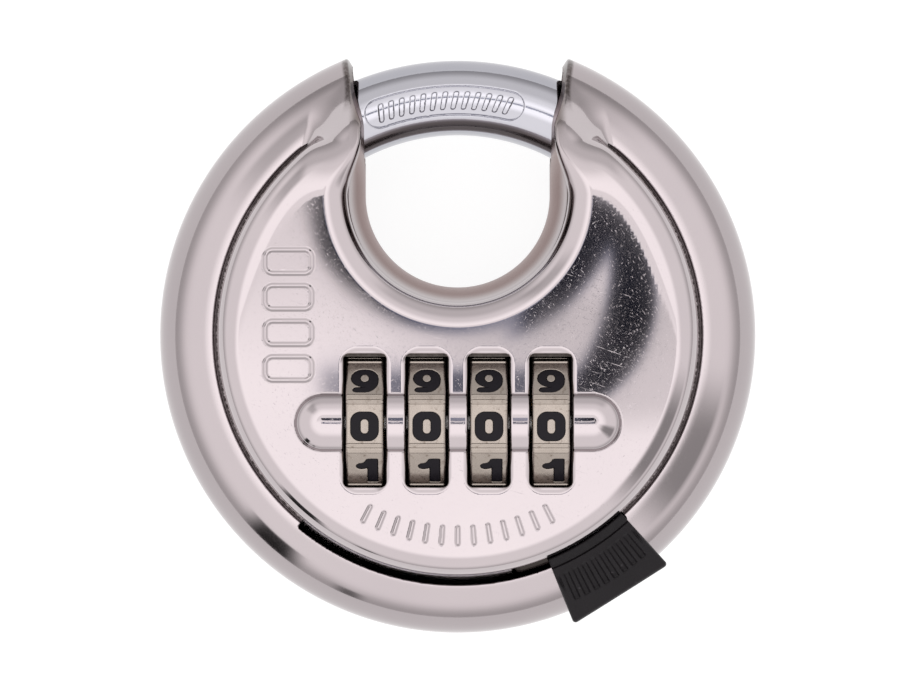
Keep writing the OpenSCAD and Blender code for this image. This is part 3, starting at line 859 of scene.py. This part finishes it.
@once
def black_plastic():
    made, g, shader, at = material("black_plastic", 0.0, 0.2)
    fine = g.noise(at, 5200, 2.0, 0.6)
    cloud = g.noise(at, 300, 3.0)
    scuff = g.step(g.streaks(at, (1, 16, 1), 60, 1700), 0.66, 0.76)
    dark = g.mix(cloud, (0.005, 0.004, 0.005, 1), (0.010, 0.008, 0.010, 1))
    g.put(shader["Base Color"], g.mix(g.times(scuff, 0.5), dark, (0.09, 0.08, 0.09, 1)))
    g.put(shader["Roughness"], g.step(fine, 0.3, 0.7, 0.36, 0.5))
    g.put(shader["Normal"], g.bump(fine, 0.012 * MM))
    return made


def metal(name, dark, light, rough, grain, depth):
    """A plain metal for the parts inside: two tones and a grain, whose depth is in millimetres."""
    made, g, shader, at = material(name, 1.0)
    cloud = g.noise(at, 250, 4.0, 0.6)
    fine = g.noise(at, grain, 3.0, 0.6)
    g.put(shader["Base Color"], g.mix(cloud, (*dark, 1), (*light, 1)))
    g.put(shader["Roughness"], g.step(fine, 0.3, 0.7, rough - 0.08, rough + 0.08))
    g.put(shader["Normal"], g.bump(fine, depth * MM))
    return made


def inner_pieces():
    """The CAD nodes that stay as they are get their metals."""
    # The zinc core is darker than bare zinc: partly its own dark paint, partly painted shade inside the
    # body.
    shaded_zinc = metal("zinc_casting", (0.07, 0.06, 0.055), (0.13, 0.115, 0.105), 0.55, 2200, 0.04)
    brass = metal("brass", (0.50, 0.33, 0.14), (0.60, 0.42, 0.20), 0.3, 3000, 0.008)
    hard = metal("hard_steel", (0.30, 0.29, 0.29), (0.42, 0.41, 0.40), 0.3, 3600, 0.008)
    spring = metal("spring_steel", (0.22, 0.20, 0.19), (0.34, 0.32, 0.30), 0.25, 4200, 0.005)
    kept = {"core_front": shaded_zinc, "core_rear": shaded_zinc, "core_screws": hard, "lever_rivet": hard,
            "code_sleeve_1": brass, "code_sleeve_2": brass, "code_sleeve_3": brass, "code_sleeve_4": brass,
            "spindle": hard, "spindle_clip": spring, "locking_bolt": hard, "spindle_spring": spring,
            "detent_spring": spring, "detent_rivets": hard, "reset_button": hard, "reset_spring": spring}
    for node, finish in kept.items():
        piece = frame["nodes"][node]
        piece.data.materials.clear()
        piece.data.materials.append(finish)


# ---------------------------------------------------------------- floor, light and camera

CAMERA_ABOVE = 0.6
DISC_SHARE = 0.661556
DISC_ASIDE, DISC_UP = 0.008556, 0.002778
ON_FACE = 0.0031
MIRROR_X, MIRROR_Y = -0.48, -0.16


def camera():
    """Straight above the face, with the disc as large and as far off centre as in the photo.

    The disc's size and its place off centre are shares of the frame's width.
    """
    data = bpy.data.cameras.new("camera")
    view = bpy.data.objects.new("camera", data)
    bpy.context.scene.collection.objects.link(view)
    bpy.context.scene.camera = view
    frame_width = 2 * DISC_R * MM / DISC_SHARE
    data.lens = data.sensor_width * CAMERA_ABOVE / frame_width
    view.location = (-DISC_ASIDE * frame_width, -DISC_UP * frame_width, MID * MM + CAMERA_ABOVE)
    data.clip_start = 0.01


def tent(g, axes):
    """How bright the tent is in each direction: dimmer towards its foot, with a few dark gaps."""
    tilt = g.math("DEGREES", g.math("ARCCOSINE", axes[2]))
    compass = g.math("DEGREES", g.math("ARCTAN2", axes[0], axes[1]))

    def gap(at, half, low, high, soft, keep):
        """How bright the tent stays around a dark gap between two tilts, centred on one compass angle."""
        turn = g.math("ABSOLUTE", g.math("WRAP", g.minus(compass, at), 180, -180))
        across = g.step(turn, half + soft, half - soft)
        along = g.times(g.step(tilt, low - soft, low + soft), g.step(tilt, high + soft, high - soft))
        return g.minus(1, g.times(across, along, 1 - keep))

    level = g.step(tilt, 10, 26, 1.9, 1.35)
    level = g.times(level, g.step(tilt, 58, 88, 1.0, 0.6))
    level = g.times(level, gap(118, 14, 12, 62, 8, 0.35), gap(222, 6, 58, 96, 3, 0.04))
    level = g.times(level, gap(203, 2.5, 76, 92, 2, 0.3), gap(318, 12, 20, 50, 8, 0.65))
    level = g.times(level, gap(0, 38, 36, 100, 10, 0.72))
    return g.times(level, g.most(g.step(axes[1], -0.02, 0.035, 1.0, 0.8), g.step(tilt, 6, 8)))


def face_shade(g, x, y):
    """A soft dimmer patch that the right of the face reflects, in mm on the face."""
    along, across = g.times(g.step(y, -12.5, -7.5), g.step(y, 7.0, 2.0)), g.step(x, -12.0, 4.0)
    return g.minus(1, g.times(along, across, g.step(x, 33, 26), 0.28))


def face_darks(g, x, y):
    """The sharp dark shapes that the face reflects, from 0 to 1, in mm on the face."""
    def away(at_x, at_y):
        return g.length(g.minus(x, at_x), g.minus(y, at_y))

    near_throat = g.times(g.step(away(-2, 19.5), 22.0, 20.9), g.step(x, 4.0, 8.0))
    branch = g.most(near_throat, g.step(away(-5.6, 8.9), 22.1, 23.2))
    flame = g.times(branch, g.step(away(8.9, 4.75), 14.4, 13.5), g.step(y, -7.6, -6.6))
    width = g.plus(g.step(y, 3, 9, 0.75, 1.4), g.step(y, 13, 15.5, 0.0, 0.4))
    past = g.minus(away(0, 16.4), width)
    streak = g.times(g.step(past, 15.75, 15.55), g.step(x, 4.0, -10.5, 0.5, 1.0), g.step(y, 17.4, 16.6))
    strips = g.times(g.step(y, -3.0, -4.4), g.step(y, -7.6, -6.8), g.step(x, -15.4, -14.8), 0.85)
    strips = g.times(strips, g.step(x, 15.0, 14.0))
    return g.most(flame, g.most(streak, strips))


def sky():
    """A white tent that the polished metal reflects. The camera itself sees plain white.

    ON_FACE is how far a reflection off the gently domed face turns, per mm across the face, and
    MIRROR_X and MIRROR_Y are the place on the face, in mm, whose reflection comes from straight above.
    """
    bpy.context.scene.view_settings.view_transform = "Standard"
    world = bpy.data.worlds.new("studio")
    bpy.context.scene.world = world
    world.use_nodes = True
    g = Graph(world.node_tree)
    axes = g.node("SeparateXYZ", {"Vector": g.node("TexCoord").outputs["Generated"]}).outputs
    x = g.math("MULTIPLY_ADD", axes[0], 1 / ON_FACE, MIRROR_X)
    y = g.math("MULTIPLY_ADD", axes[1], 1 / ON_FACE, MIRROR_Y)
    dark = face_darks(g, x, y)
    level = g.times(tent(g, axes), face_shade(g, x, y), g.minus(1, g.times(dark, 0.975)))
    seen = g.node("LightPath").outputs["Is Camera Ray"]
    tint = g.mix(dark, (1, 0.97, 0.975, 1), (0.6, 0.68, 1, 1))
    shine = world.node_tree.nodes["Background"].inputs
    g.put(shine["Color"], g.mix(seen, tint, (1, 1, 1, 1)))
    g.put(shine["Strength"], g.plus(g.times(level, g.minus(1, seen)), seen))


def floor():
    """A plain pale floor that gives off some light, so that it reads as the photo's white ground."""
    bm = bmesh.new()
    bmesh.ops.create_grid(bm, x_segments=12, y_segments=12, size=1.5)
    mesh = bpy.data.meshes.new("floor")
    bm.to_mesh(mesh)
    bm.free()
    ground = bpy.data.objects.new("floor", mesh)
    bpy.context.scene.collection.objects.link(ground)
    made, g, shader, at = material("floor", 0.0, 0.0)
    grain = g.noise(at, 40, 2.0)
    g.put(shader["Base Color"], g.mix(grain, (0.29, 0.29, 0.29, 1), (0.31, 0.31, 0.31, 1)))
    shader["Roughness"].default_value = 0.9
    shader["Emission Color"].default_value = (1, 1, 1, 1)
    shader["Emission Strength"].default_value = 0.84
    mesh.materials.append(made)


camera()
sky()
floor()
shells()
bar()
thumb_lever()
number_wheels()
inner_pieces()
